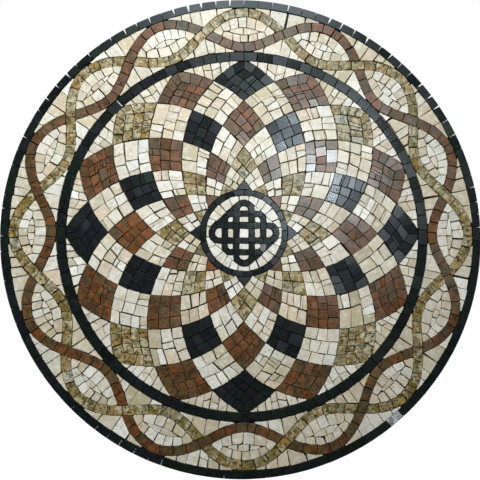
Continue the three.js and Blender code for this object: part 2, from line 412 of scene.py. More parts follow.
def ribbon_course(phase, chance):
    """The stones of a ribbon: it passes over the other where it rises clockwise."""
    own, other = Ribbon(phase), Ribbon(-phase)
    half = RIBBON_SIDE
    per_wave = 14
    aslant = 0.003
    near = math.pi / WAVES / 2
    crest = 0 if phase > 0 else math.pi / WAVES
    stones = []
    for wave in range(WAVES):
        under = crest + TAU * wave / WAVES + near
        last = under + TAU / WAVES
        starts, ends = [], []
        for side in (half, -half):
            gap = lambda angle, side=side: other.aside(own.edge(angle, side))
            starts.append(meeting(lambda a: gap(a) > -half, under - near / 2, under + near))
            ends.append(meeting(lambda a: gap(a) > half, last - near, last + near / 2))
        first, final = sum(starts) / 2, sum(ends) / 2
        cuts = [between(first, final, share) for share in uneven(per_wave, 0.2, chance)]
        joints = [[cut + chance.uniform(-1, 1) * aslant for _ in range(2)] for cut in cuts]
        joints[0], joints[-1] = starts, ends
        for a, b in zip(joints, joints[1:]):
            outer = [own.edge(between(a[0], b[0], share), half) for share in (0, 0.5, 1)]
            inner = [own.edge(between(a[1], b[1], share), -half) for share in (1, 0.5, 0)]
            stones.append(outer + inner)
    return stones


# Ivory between the ribbons


def columns(joints, low, high, chance, tall):
    """Stones that stand side by side between two curves, given as radius by angle.

    A column taller than tall is cut across into two.
    """
    stones = []
    for a, b in zip(joints, joints[1:]):
        middle = (a + b) / 2
        turns = (a, middle, b)
        bottom = [polar(low(t), t) for t in turns]
        top = [polar(high(t), t) for t in turns]
        if high(middle) - low(middle) > tall * chance.uniform(0.85, 1.15):
            share, skew = chance.uniform(0.4, 0.6), chance.uniform(-0.06, 0.06)
            left = bottom[0].lerp(top[0], share - skew)
            right = bottom[2].lerp(top[2], share + skew)
            centre = bottom[1].lerp(top[1], share)
            stones.append(bottom + [right, centre, left])
            stones.append([left, centre, right] + top[::-1])
        else:
            stones.append(bottom + top[::-1])
    return stones


def band_triangles(outside, chance):
    """The ivory triangles between the ribbons and one of the black borders."""
    least, tall = 0.0017, 0.021  # how high they are at their ends, and where stones are halved
    ribbons = (Ribbon(1), Ribbon(-1))
    if outside:
        low = lambda t: max(r.edge_radius(t, RIBBON_SIDE) for r in ribbons)
        high = lambda t: BAND_OUTER - MID
    else:
        low = lambda t: BAND_INNER + MID
        high = lambda t: min(r.edge_radius(t, -RIBBON_SIDE) for r in ribbons)
    stones = []
    for i in range(2 * WAVES):
        crossing = (i + 0.5) * math.pi / WAVES
        crest = crossing + math.pi / WAVES / 2
        span = meeting(lambda a: high(a) - low(a) > least, crossing, crest) - crossing
        count = chance.choice((2, 3)) if outside else 2
        joints = [crossing - span * (1 - s) for s in uneven(count, 0.25, chance)]
        joints += [crossing + span * s for s in uneven(chance.choice((2, 3)), 0.25, chance)[1:]]
        stones += columns(joints, low, high, chance, tall)
    return stones


def lens(place, chance):
    """The ivory stones of one lens: an outer row, an inner row and slips of stone between."""
    least = 0.0022
    middle = place * math.pi / WAVES
    crossing = middle + math.pi / WAVES / 2
    ribbons = (Ribbon(1), Ribbon(-1))
    low = lambda t: min(r.edge_radius(t, RIBBON_SIDE) for r in ribbons)
    high = lambda t: max(r.edge_radius(t, -RIBBON_SIDE) for r in ribbons)
    span = meeting(lambda a: high(a) - low(a) > least, middle, crossing) - middle

    def at(u, v):
        turn = middle + span * u
        return polar(between(low(turn), high(turn), v), turn)

    waist = chance.uniform(0.42, 0.58)
    slips_end = chance.uniform(0.42, 0.62)
    swell = chance.uniform(0.09, 0.15)

    def seam(u, side):
        """The share of the height at which the outer or the inner row ends."""
        return waist + side * swell * max(0.0, 1 - (u / slips_end) ** 2)

    def row(ends, counts, base, top, fan):
        turns = [between(*ends, s) for s in uneven(chance.choice(counts), 0.2, chance)]
        for a, b in zip(turns, turns[1:]):
            m = (a + b) / 2
            lower = [at(u * fan[0], base(u * fan[0])) for u in (a, m, b)]
            upper = [at(u * fan[1], top(u * fan[1])) for u in (b, m, a)]
            yield lower + upper

    tip = chance.uniform(0.72, 0.8)
    last = slips_end * 0.82
    outer_seam = lambda u: seam(u, 1)
    inner_seam = lambda u: seam(u, -1)
    stones = []
    stones += row((-tip, tip), (5, 6), outer_seam, lambda u: 1, (0.9, 1))
    stones += row((-tip, tip), (4, 5), lambda u: 0, inner_seam, (1, 0.9))
    stones += row((-last, last), (2, 3, 4), inner_seam, outer_seam, (1, 1))
    for side in (-1, 1):
        inner = [at(side * tip, 0), at(side * tip * 0.9, waist), at(side * tip, 1)]
        outer = [at(side * 0.9, 1), at(side, 0.9), at(side, 0.1), at(side * 0.9, 0)]
        stones.append(inner + outer)
    return stones


# The wheel of lozenges


def arc_through(a, b, c):
    """The radius of the circle through three points, how far off its centre is, and its lean."""
    ab, ac = b - a, c - a
    twice = 2 * ab.cross(ac)
    centre = a + Vector((
        (ac.y * ab.length_squared - ab.y * ac.length_squared) / twice,
        (ab.x * ac.length_squared - ac.x * ab.length_squared) / twice,
    ))
    return (centre - a).length, centre.length, math.atan2(centre.x, centre.y)


ARC_RADIUS, ARC_DISTANCE, ARC_LEAN = arc_through(
    polar(TIP_RADIUS, 0),
    polar(THIRD_CROSSING, 3 * HALF_STEP),
    polar(SEVENTH_CROSSING, 7 * HALF_STEP),
)


def arc_height(angle):
    """How far out an arc is, at an angle from the petal's tip that it starts at."""
    turn = angle - ARC_LEAN
    across = ARC_DISTANCE * math.sin(turn)
    return ARC_DISTANCE * math.cos(turn) + math.sqrt(ARC_RADIUS ** 2 - across ** 2)


def lozenge(row, place):
    """The area of a lozenge as a function of two shares, which run from its outer tip to its
    right and to its left corner. Place is how many half steps from the top its middle is, and
    rows are counted from the rim.
    """
    def at(u, v):
        # Each line across it is an arc like its sides, so a point lies where two arcs cross:
        # one that runs in clockwise, and one that runs in the other way.
        clockwise, other = row - 1 + 2 * v, row - 1 + 2 * u
        distance = arc_height((clockwise + other) / 2 * HALF_STEP)
        turn = (place + (other - clockwise) / 2) * HALF_STEP
        return polar(min(distance, FIELD - MID), turn)

    return at


def split(corners, share, skew, lengthways):
    """The corners of the two stones that another cut makes of one."""
    a, b, c, d = corners if lengthways else corners[1:] + corners[:1]
    near, far = between(a, b, share - skew), between(d, c, share + skew)
    return [[a, near, far, d], [near, b, c, far]]


def grid(at, area, rows, count, chance, slips):
    """Stones in rows across an area. The share slips of them is cut again, into two."""
    (left, bottom), (right, top) = area
    turned = chance.random() < 0.5
    place = (lambda u, v: at(v, u)) if turned else at
    if turned:
        left, bottom, right, top = bottom, left, top, right
    tilt, skew = 0.06, 0.03  # the most that a line between rows or between stones runs askew
    lines = [between(bottom, top, s) for s in uneven(rows, 0.16, chance)]
    tilts = [0] + [chance.uniform(-1, 1) * tilt for _ in lines[2:]] + [0]
    stones = []
    for i in range(rows):
        in_row = max(1, count + chance.choice((-1, 0, 0, 0, 1)) * (count > 2))
        cuts = [between(left, right, s) for s in uneven(in_row, 0.26, chance)]
        skews = [0] + [chance.uniform(-1, 1) * skew for _ in cuts[2:]] + [0]

        def corner(cut, line):
            u = cuts[cut] + skews[cut] * (1 if line > i else -1)
            return Vector((u, lines[line] + tilts[line] * (u - 0.5)))

        for j in range(in_row):
            corners = [corner(j, i), corner(j + 1, i), corner(j + 1, i + 1), corner(j, i + 1)]
            if chance.random() < slips:
                share, askew = chance.choice((0.3, 0.5, 0.68)), chance.uniform(-0.08, 0.08)
                pieces = split(corners, share, askew, chance.random() < 0.6)
            else:
                pieces = [corners]
            stones += [[place(*corner) for corner in piece] for piece in pieces]
    return stones


def petal(at, chance):
    """A petal: wedge stones follow its two outer sides, and a grid fills what they leave."""
    rim = chance.uniform(0.26, 0.31)
    stones = []
    for mirrored in (False, True):
        side = (lambda s, depth: at(depth, s)) if mirrored else (lambda s, depth: at(s, depth))
        count = chance.choice((3, 3, 4))
        outer = uneven(count, 0.15, chance)
        inner = [between(rim, 1, s) for s in uneven(count, 0.12, chance)]
        inner[0] = rim
        for i in range(count):
            a, b = outer[i], outer[i + 1]
            c, d = inner[i], inner[i + 1]
            stones.append([
                side(a, 0), side((a + b) / 2, 0), side(b, 0), side((b + d) / 2, rim / 2),
                side(d, rim), side((c + d) / 2, rim), side(c, rim), side((a + c) / 2, rim / 2),
            ])
    return stones + grid(at, ((rim, rim), (1, 1)), chance.choice((2, 3)), 3, chance, 0.2)


def spandrel(number, chance):
    """The ivory stones between two petals and the inner border."""
    least, tall = 0.0012, 0.0165
    middle = (2 * number + 1) * HALF_STEP
    high = lambda t: FIELD - MID
    low = lambda t: arc_height(HALF_STEP - abs(t - middle))
    span = meeting(lambda a: high(a) - low(a) > least, middle, middle + HALF_STEP) - middle
    left, right = chance.choice(((3, 3), (3, 4), (4, 3), (3, 3)))
    joints = [middle - span * (1 - s) for s in uneven(left, 0.2, chance)]
    joints += [middle + span * s for s in uneven(right, 0.2, chance)[1:]]
    return columns(joints, low, high, chance, tall)


# The centre


def star_point(place):
    """One of the innermost lozenges, of which the centre ring leaves a point."""
    middle = place * HALF_STEP
    ring = CENTRE_RING + MID
    side = lambda t: arc_height(6 * HALF_STEP + abs(t - middle))
    span = meeting(lambda a: side(a) > ring + 0.0008, middle, middle + HALF_STEP) - middle
    base = [polar(ring, middle + span * s) for s in (-1, 0, 1)]
    turns = [middle + span * s for s in (1, 0.5, 0, -0.5, -1)]
    return base + [polar(side(t), t) for t in turns]


def knot_outlines(offset):
    """The knot's three closed lines, moved out by an offset: long upright, long lying, square."""
    reach_out = PAIR + offset

    def long_loop(end):
        centre = Vector((0, end - PAIR))
        turns = [math.pi * i / 12 for i in range(13)]
        half = [Vector((math.cos(t), math.sin(t))) * reach_out + centre for t in turns]
        return half + [-p for p in half]

    upright = long_loop(UPRIGHT_END)
    lying = [Vector((-p.y, p.x)) for p in long_loop(LYING_END)]
    side = SQUARE + offset
    cut = CORNER_CUT + offset * (2 - math.sqrt(2))
    square = []
    for quarter in range(4):
        for corner in (Vector((side, side - cut)), Vector((side - cut, side))):
            square.append(Matrix.Rotation(quarter * math.pi / 2, 2) @ corner)
    return upright, lying, square


def ray_to(outline, angle):
    """How far out a closed outline round the centre is, at an angle."""
    ray = polar(1, angle)
    far = 0.0
    for a, b in zip(outline, outline[1:] + outline[:1]):
        edge = b - a
        across = ray.cross(edge)
        if abs(across) < 1e-12:
            continue
        share = a.cross(ray) / across
        out = a.cross(edge) / across
        if -1e-9 <= share <= 1 + 1e-9:
            far = max(far, out)
    return far


def centre_course(chance):
    """The ivory stones between the centre ring and the knot."""
    upright, lying, square = knot_outlines(STRAND / 2 + MID)
    ends = upright + lying
    # Small stones fill the corners between the loops, out to the straight lines round both.
    line = [ends[i] for i in convex_hull_2d(ends)]
    low = lambda t: max(ray_to(line, t), ray_to(square, t))
    high = KNOT_GROUND - MID
    stones = []
    notches = []
    thinnest = 0.0016
    for quarter in range(4):
        start = quarter * math.pi / 2
        notches += [start + math.radians(a) for a in (-8, 9, 22, 36, 50, 66)]
    notches = [n + chance.uniform(-1, 1) * 0.035 for n in notches]
    for a, b in zip(notches, notches[1:] + [notches[0] + TAU]):
        turns = [between(a, b, s) for s in (0, 0.25, 0.5, 0.75, 1)]
        inner = [polar(min(low(t), high - thinnest), t) for t in turns]
        outer = [polar(high, t) for t in turns[::-1]]
        stones.append(inner + outer)
    return stones


def knot_windows():
    """The ivory stones that show through the knot."""
    edge = STRAND / 2 + MID
    half = PAIR - edge
    rise = half * 0.85  # the window in a loop's end is flatter there than a half circle

    def box(x0, y0, x1, y1):
        return [Vector((x0, y0)), Vector((x1, y0)), Vector((x1, y1)), Vector((x0, y1))]

    stones = [box(-half, -half, half, half)]
    diagonal = 2 * SQUARE - CORNER_CUT - edge * math.sqrt(2)
    low, high = PAIR + edge, SQUARE - edge
    for quarter in range(4):
        cap = (UPRIGHT_END, LYING_END)[quarter % 2] - PAIR
        turn = Matrix.Rotation(quarter * math.pi / 2, 2)
        oblong = box(-half, low, half, high)
        corner = box(low, low, high, high)
        corner[2:3] = [Vector((high, diagonal - high)), Vector((diagonal - high, high))]
        dome = [Vector((-half, SQUARE + edge)), Vector((half, SQUARE + edge))]
        dome += [
            Vector((half * math.cos(a), cap + rise * math.sin(a)))
            for a in (math.pi * i / 6 for i in range(7))
        ]
        stones += [[turn @ p for p in outline] for outline in (oblong, corner, dome)]
    return stones


def knot_corners():
    """The small stones that fill the corners between the square and the ends of the long loops.

    They are black at the upper left and the lower right, and ivory at the other two.
    """
    black, ivory = [], []
    near, far = PAIR + STRAND / 2 + MID, SQUARE + STRAND / 2 + MID
    shoulder = far - CORNER_CUT - (STRAND / 2 + MID) * (2 - math.sqrt(2))
    for quarter in range(4):
        own, other = UPRIGHT_END - PAIR, LYING_END - PAIR
        if quarter % 2:
            own, other = other, own
        outward = Vector((own, other)).normalized()
        centre = Vector((0, own))
        filler = [Vector((near, far)), Vector((shoulder, far))]
        tip = centre + near * polar(1, math.radians(70))
        filler += [tip + outward * (near - (tip - centre).dot(outward)), tip, Vector((near, own))]
        turn = Matrix.Rotation(quarter * math.pi / 2, 2)
        for side in (1, -1):
            corner = [turn @ Vector((side * p.x, p.y)) for p in filler]
            (ivory if corner[0].x * corner[0].y > 0 else black).append(corner)
    return black, ivory


def strand_stones(line, chance):
    """The stones along one closed line of the knot."""
    step = 0.0004  # between the points that are tested for a crossing
    on_crossing = 0.0006  # how near a crossing's middle such a point is on it
    stone_length = 0.0105
    lengths = [(b - a).length for a, b in zip(line, line[1:] + line[:1])]
    total = sum(lengths)

    def at(distance):
        distance %= total
        for (a, b), length in zip(zip(line, line[1:] + line[:1]), lengths):
            if distance <= length:
                direction = (b - a).normalized()
                return a + direction * distance, direction
            distance -= length
        return line[0], (line[1] - line[0]).normalized()

    def passes_over(point, upright):
        """Whether this strand is the upper one at a point, or None where no other crosses it."""
        places = (-SQUARE, -PAIR, PAIR, SQUARE)
        column = min(range(4), key=lambda i: abs(places[i] - point.x))
        level = min(range(4), key=lambda i: abs(places[i] - point.y))
        off = max(abs(places[column] - point.x), abs(places[level] - point.y))
        corner = abs(places[column]) == SQUARE and abs(places[level]) == SQUARE
        if off >= on_crossing or corner:
            return None
        return ((column + level) % 2 == 1) == upright

    unders = []
    for i in range(int(total / step)):
        point, direction = at(i * step)
        upright = abs(direction.y) > abs(direction.x)
        if passes_over(point, upright) is False:
            if not unders or i * step - unders[-1][-1] > 3 * step:
                unders.append([i * step])
            else:
                unders[-1].append(i * step)
    crossings = [sum(group) / len(group) for group in unders]
    side = STRAND / 2 + MID
    stones = []
    for a, b in zip(crossings, crossings[1:] + [crossings[0] + total]):
        start, end = a + side, b - side
        pieces = max(1, round((end - start) / stone_length))
        cuts = [between(start, end, s) for s in uneven(pieces, 0.15, chance)]
        for c, d in zip(cuts, cuts[1:]):
            samples = [at(between(c, d, s)) for s in (0, 0.25, 0.5, 0.75, 1)]
            left = [p + Vector((-t.y, t.x)) * side for p, t in samples]
            right = [p - Vector((-t.y, t.x)) * side for p, t in samples[::-1]]
            stones.append(left + right)
    return stones


# Materials


def add(tree, kind, settings=None, **links):
    """Adds a node: settings are its own properties or its inputs' values, and links its wires."""
    node = tree.nodes.new(kind)
    for key, value in (settings or {}).items():
        if key in node.inputs:
            node.inputs[key].default_value = value
        else:
            setattr(node, key, value)
    for key, source in links.items():
        tree.links.new(source, node.inputs[key.replace("_", " ")])
    return node


def blank(name):
    material = bpy.data.materials.new(name)
    material.use_nodes = True
    material.node_tree.nodes.clear()
    return material, material.node_tree


def stained(tree, colour, tint, share):
    """The socket of a colour that turns to a tint by the share that another socket gives."""
    mix = add(tree, "ShaderNodeMix", {"data_type": "RGBA"})
    tree.links.new(share, mix.inputs[0])
    tree.links.new(colour, mix.inputs[6])
    mix.inputs[7].default_value = (*tint, 1)
    return mix.outputs[2]


def stops(node, *pairs):
    """Sets a colour ramp's stops: each a place and a linear colour."""
    ramp = node.color_ramp
    while len(ramp.elements) < len(pairs):
        ramp.elements.new(0.5)
    for element, (place, colour) in zip(ramp.elements, pairs):
        element.position = place
        element.color = (*colour, 1)
    return node


def marble(name, tones, layers, veins, roughness, gleam):
    """Honed marble, cut in small stones. Gleam is how much it mirrors: 0.5 is bare stone.

    Tones are the colours that whole stones have, the last one that of the odd stone. Each layer
    is what shows within a stone: its colour, how many millimetres across its patches are, the
    noise values at which it starts and is full, and how strong it is then. Veins have a colour,
    the millimetres between them and their strength.
    """
    material, tree = blank(name)
    texture = add(tree, "ShaderNodeTexCoord")
    stone = add(tree, "ShaderNodeAttribute", {"attribute_name": "stone"}).outputs["Vector"]
    marks = add(tree, "ShaderNodeSeparateXYZ", Vector=stone).outputs
    # Each stone is cut from another spot of the slab, up to 0.7 m off, so its pattern is its own.
    spot = add(tree, "ShaderNodeVectorMath", {"operation": "MULTIPLY_ADD"})
    tree.links.new(stone, spot.inputs[0])
    spot.inputs[1].default_value = (0.7, 0.7, 0.7)
    tree.links.new(texture.outputs["Object"], spot.inputs[2])
    spot = spot.outputs[0]
    places = [i * USUAL / (len(tones) - 2) for i in range(len(tones) - 1)] + [1]
    tone = stops(add(tree, "ShaderNodeValToRGB", Fac=marks["X"]), *zip(places, tones))
    colour = tone.outputs["Color"]

    def noise(size, distortion):
        return add(tree, "ShaderNodeTexNoise", {
            "Scale": 1000 / size, "Detail": 4, "Roughness": 0.55, "Distortion": distortion,
        }, Vector=spot).outputs["Fac"]

    for tint, size, low, high, strength in layers:
        share = add(tree, "ShaderNodeMapRange", {
            "From Min": low, "From Max": high, "To Max": strength}, Value=noise(size, 0.4))
        colour = stained(tree, colour, linear(tint), share.outputs[0])
    tint, size, strength = veins
    line = stops(add(tree, "ShaderNodeValToRGB", Fac=noise(size, 1.2)),
                 (0.47, (0, 0, 0)), (0.495, (strength,) * 3), (0.52, (0, 0, 0)))
    colour = stained(tree, colour, linear(tint), line.outputs["Color"])
    # Whole stones also differ in brightness, by about a tenth up or down.
    value = add(tree, "ShaderNodeMapRange", {"To Min": 0.88, "To Max": 1.08}, Value=marks["Y"])
    shade = add(tree, "ShaderNodeHueSaturation", Value=value.outputs[0], Color=colour)
    honed = add(tree, "ShaderNodeMapRange", {
        "To Min": roughness - 0.06, "To Max": roughness + 0.1}, Value=marks["Z"])
    # Only the face is honed: the sides are rough, as the nippers leave them.
    facing = add(tree, "ShaderNodeSeparateXYZ", Vector=texture.outputs["Normal"])
    gloss = add(tree, "ShaderNodeMapRange", {"From Min": -0.3, "From Max": -0.8, "To Min": 0.65},
                Value=facing.outputs["Y"], To_Max=honed.outputs[0])
    grain = add(tree, "ShaderNodeTexNoise", {"Scale": 1000 / 1.4, "Detail": 3}, Vector=spot)
    relief = add(tree, "ShaderNodeBump", {"Strength": 0.12, "Distance": 0.0004},
                 Height=grain.outputs["Fac"])
    shader = add(
        tree, "ShaderNodeBsdfPrincipled", {"IOR": 1.49, "Specular IOR Level": gleam},
        Base_Color=shade.outputs[0], Roughness=gloss.outputs[0], Normal=relief.outputs[0])
    add(tree, "ShaderNodeOutputMaterial", Surface=shader.outputs[0])
    return material


def shades(*tints):
    """Linear colours from sRGB hex values and from colours that are linear already."""
    return [linear(tint) if isinstance(tint, str) else tuple(tint) for tint in tints]


def ivory_marble(name, colours):
    """Cream limestone marble, honed: white to peach from stone to stone, with soft beige clouds
    and a few fine grey-brown pores."""
    return marble(
        name,
        shades("#C4BC9C", "#DCCCB3", "#D3CDB4", "#DCD8C5", colours.ivory, "#E9E9DC", "#F2F3EA",
               "#FAFBF7"),
        (("#CDBB90", 10, 0.48, 0.68, 0.55), ("#F5F5EE", 7, 0.5, 0.64, 0.5),
         ("#9B946C", 2.8, 0.56, 0.68, 0.5)),
        ("#B9AC85", 16, 0.45),
        0.32, 0.5)


def rust_marble(name, colours):
    """Red-brown marble, honed: olive brown to orange brown, with darker and greener clouds."""
    return marble(
        name,
        shades("#4A4330", "#5F5538", "#6A563A", "#54402A", "#6B4526", colours.rust, "#824D26",
               "#7C7966"),
        (("#45341A", 13, 0.47, 0.61, 0.75), ("#9A5A2C", 8, 0.5, 0.64, 0.6),
         ("#5B5430", 9, 0.52, 0.61, 0.65), ("#22170C", 3.2, 0.54, 0.64, 0.75)),
        ("#20170D", 12, 0.6),
        0.25, 0.48)


def gold_marble(name, colours):
    """Golden breccia, honed: dark mustard, olive, tan to pale grey, with brown and pale clouds
    and dark veins in every stone."""
    return marble(
        name,
        shades("#80691F", "#77723F", "#A08030", "#999058", "#A58552", colours.gold, "#A29A78",
               "#BAB48E", "#C9CBB9"),
        (("#A27729", 17, 0.48, 0.62, 0.65), ("#D6CFAD", 10, 0.48, 0.6, 0.75),
         ("#6C6532", 9, 0.49, 0.61, 0.75), ("#BDBBA6", 6, 0.54, 0.64, 0.55),
         ("#2E290A", 4, 0.53, 0.61, 0.85)),
        ("#352C10", 10, 0.9),
        0.3, 0.4)


def black_marble(name, colours):
    """Near-black marble, honed: a green, blue or purple tinge from stone to stone and within
    each, a few pale flecks."""
    return marble(
        name,
        shades("#0A0D0E", "#0C1510", "#101D16", colours.black, "#13161D", "#1A181E", "#161923",
               "#DCE2E4"),
        (("#15261A", 10, 0.48, 0.62, 0.6), ("#1D1B27", 9, 0.5, 0.62, 0.6),
         ("#8B979C", 2.4, 0.7, 0.74, 0.6)),
        ("#2A3330", 14, 0.4),
        0.19, 0.36)


def plain_material(name, tone, other, patch_mm, roughness, relief, dirt=None):
    """A dull material with patches of a second tone and a low relief of the same scale.

    Dirt is the colour that it has towards the front of the panel.
    """
    material, tree = blank(name)
    place = add(tree, "ShaderNodeTexCoord").outputs["Object"]
    patches = add(tree, "ShaderNodeTexNoise", {
        "Scale": 1000 / patch_mm, "Detail": 5, "Roughness": 0.6}, Vector=place)
    ramp = stops(add(tree, "ShaderNodeValToRGB", Fac=patches.outputs["Fac"]),
                 (0.35, tone), (0.7, other))
    colour = ramp.outputs["Color"]
    if dirt:
        depth = add(tree, "ShaderNodeSeparateXYZ", Vector=place).outputs["Y"]
        share = add(tree, "ShaderNodeMapRange", {"From Min": -NET_TOP, "From Max": -BED_TOP},
                    Value=depth)
        colour = stained(tree, colour, dirt, share.outputs[0])
    bump = add(tree, "ShaderNodeBump", {"Strength": relief, "Distance": 0.001},
               Height=patches.outputs["Fac"])
    shader = add(tree, "ShaderNodeBsdfPrincipled", {"Roughness": roughness},
                 Base_Color=colour, Normal=bump.outputs[0])
    add(tree, "ShaderNodeOutputMaterial", Surface=shader.outputs[0])
    return material


def adhesive():
    """Dried adhesive, pale grey-brown where the net is pressed in, and dark with dirt where it
    shows in the joints."""
    return plain_material("Dried adhesive", linear("#A89F8C"), linear("#8B8270"), 25, 0.85, 0.4,
                          dirt=linear("#443A2E"))


# Operators


# Each slot's marble, what makes it, how mixed its batches are and how many stones are odd ones
MARBLES = {
    "ivory_marble": ("Honed cream marble", ivory_marble, 0.6, 0.004),
    "rust_marble": ("Honed red-brown marble", rust_marble, 0.5, 0.004),
    "gold_marble": ("Honed golden breccia", gold_marble, 0.8, 0.004),
    "black_marble": ("Honed black marble", black_marble, 0.5, 0),
}


def set_piece(name, stones, slot, seed, *replaced, **laying):
    """Lays stones as a piece and gives it the marble that its slot names."""
    marble_name, make, mixed, odd = MARBLES[slot]
    finish = bpy.data.materials.get(marble_name)
    finish = finish or make(marble_name, bpy.context.scene.mosaic_colours)
    laying = {"mixed": mixed, "odd": odd, **laying}
    return hand_over(lay(name, stones, seed, **laying), finish, slot, *replaced)


def net(edge):
    """The net on the back: threads both ways, lying on each other, cut to a disc."""
    thread, step = 0.0011, 0.005
    thick = BED_FOOT * 0.6  # over half of the net's depth: the layers are pressed into each other
    count = 2 * int(edge / step) + 1
    layers = []
    for turn, back in ((0, 0), (math.pi / 2, BED_FOOT - thick)):
        bpy.ops.object.select_all(action="DESELECT")
        bpy.ops.mesh.primitive_cube_add(size=1, location=(0, 0, back + thick / 2))
        strand = bpy.context.object
        strand.scale = (thread, 2 * edge, thick)
        bpy.ops.object.transform_apply(location=False, rotation=False, scale=True)
        strand.location.x = -step * (count - 1) / 2
        bpy.ops.object.transform_apply(location=True, rotation=False, scale=False)
        array = strand.modifiers.new("threads", "ARRAY")
        array.count = count
        array.use_relative_offset = False
        array.use_constant_offset = True
        array.constant_offset_displace = (step, 0, 0)
        bpy.ops.object.modifier_apply(modifier=array.name)
        strand.rotation_euler = (0, 0, turn)
        bpy.ops.object.transform_apply(location=False, rotation=True, scale=False)
        layers.append(strand)
    bpy.ops.object.select_all(action="DESELECT")
    bpy.ops.mesh.primitive_cylinder_add(vertices=96, radius=edge, depth=0.02, location=(0, 0, 0))
    disc = bpy.context.object
    for layer in layers:
        activate(layer)
        trim = layer.modifiers.new("disc", "BOOLEAN")
        trim.operation = "INTERSECT"
        trim.object = disc
        bpy.ops.object.modifier_apply(modifier=trim.name)
    bpy.data.objects.remove(disc)
    activate(layers[0])
    layers[1].select_set(True)
    bpy.ops.object.join()
    layers[0].name = "glass_net"
    stand_up(layers[0])
    return layers[0]


def glass_fibre():
    """Glass fibre threads dipped in white size: dull, and a little uneven in tone."""
    return plain_material("Glass fibre net", linear("#E4E2DA"), linear("#CFCCC0"), 3, 0.75, 0.3)


class MOSAIC_OT_backing(bpy.types.Operator):
    """The bed of adhesive that the stones stand in, and the glass fibre net glued on its back"""
    bl_idname = "mosaic.backing"
    bl_label = "Bed and net"

    def execute(self, context):
        # The bed ends under the border, so light shows through the outer half of its joints.
        edge = BAND_OUTER + 0.004
        bpy.ops.object.select_all(action="DESELECT")
        bpy.ops.mesh.primitive_circle_add(
            vertices=160, radius=edge, fill_type="NGON", location=(0, 0, BED_FOOT))
        bed = context.object
        bed.name = "adhesive_bed"
        bpy.ops.object.mode_set(mode="EDIT")
        bpy.ops.mesh.select_all(action="SELECT")
        raise_up(bed, BED_TOP + SQUEEZED_UP - BED_FOOT, 0.0006)
        hand_over(bed, adhesive(), "backing", "ivory_ground")
        hand_over(net(PANEL_RADIUS - 0.002), glass_fibre(), "backing", "backing_net")
        return {"FINISHED"}


class MOSAIC_OT_borders(bpy.types.Operator):
    """The two black borders and the ring at the centre"""
    bl_idname = "mosaic.borders"
    bl_label = "Borders"

    def execute(self, context):
        chance = random.Random(11)
        outer = ring_course(BAND_OUTER, PANEL_RADIUS, 102, chance, wedge=0.0017)
        green = (0, 0.65)
        broken = polar(PANEL_RADIUS, math.radians(139.5))  # its fresh break is nearly white
        set_piece("outer_border_stones", outer, "black_marble", 12, "outer_border", care=0.15,
                  pick=green, marked=[(broken, 1)], foot=BED_FOOT + 0.0009)
        slip = math.radians(315)
        inner = ring_course(FIELD, BAND_INNER, 80, chance, slip=slip)
        set_piece("inner_border_stones", inner, "black_marble", 13, "inner_border", care=0.5,
                  pick=green, marked=[(polar((FIELD + BAND_INNER) / 2, slip), 1)])
        centre = ring_course(KNOT_GROUND, CENTRE_RING, 25, chance)
        centre += [star_point(quarter * PETALS / 2) for quarter in range(4)]
        set_piece("centre_ring_stones", centre, "black_marble", 14, "centre_ring", care=0.5,
                  pick=green)
        return {"FINISHED"}


class MOSAIC_OT_ribbons(bpy.types.Operator):
    """The rust ribbon and the gold ribbon, which cross sixteen times"""
    bl_idname = "mosaic.ribbons"
    bl_label = "Ribbons"

    def execute(self, context):
        rust = ribbon_course(-1, random.Random(21))
        set_piece("rust_ribbon_stones", rust, "rust_marble", 22, "rust_ribbon", care=0.7,
                  pick=(0, 0.85), mixed=0.7)
        gold = ribbon_course(1, random.Random(23))
        set_piece("gold_ribbon_stones", gold, "gold_marble", 24, "gold_ribbon", care=0.7,
                  pick=(0, 0.9))
        return {"FINISHED"}


class MOSAIC_OT_band_ground(bpy.types.Operator):
    """The ivory lenses and triangles between the ribbons and the borders"""
    bl_idname = "mosaic.band_ground"
    bl_label = "Ivory of the band"

    def execute(self, context):
        chance = random.Random(31)
        outside = band_triangles(True, chance)
        set_piece("outer_triangle_stones", outside, "ivory_marble", 32, "ivory_ground")
        inside = band_triangles(False, chance)
        set_piece("inner_triangle_stones", inside, "ivory_marble", 33, "ivory_ground")
        lenses = [stone for place in range(2 * WAVES) for stone in lens(place, chance)]
        set_piece("lens_stones", lenses, "ivory_marble", 34, "ivory_ground")
        return {"FINISHED"}


class MOSAIC_OT_lozenges(bpy.types.Operator):
    """The coloured lozenges of the wheel: petals, middle and inner lozenges"""
    bl_idname = "mosaic.lozenges"
    bl_label = "Coloured lozenges"

    def execute(self, context):
        for number in range(PETALS):
            odd = number % 2 == 1
            even_slot = ("black_marble", "gold_marble")[number // 2 % 2]
            rows = (
                (1, "petal", "rust_marble" if odd else even_slot),
                (3, "middle_lozenge", "black_marble" if odd else "rust_marble"),
                (5, "inner_lozenge", "rust_marble" if odd else "gold_marble"),
            )
            for row, word, slot in rows:
                chance = random.Random(100 * row + number)
                at = lozenge(row, 2 * number)
                if row == 1:
                    stones = petal(at, chance)
                else:
                    side = 3 if row == 3 else 2
                    stones = grid(at, ((0, 0), (1, 1)), side, side, chance, 0.12)
                node = f"{word}_{number + 1:02d}"
                care = 0.8 if slot == "gold_marble" else 0.5
                level = 1.3 if slot == "black_marble" else 1
                set_piece(f"{node}_stones", stones, slot, 1000 * row + number, node, care=care,
                          level=level, pick=(0.25, 1))
        return {"FINISHED"}


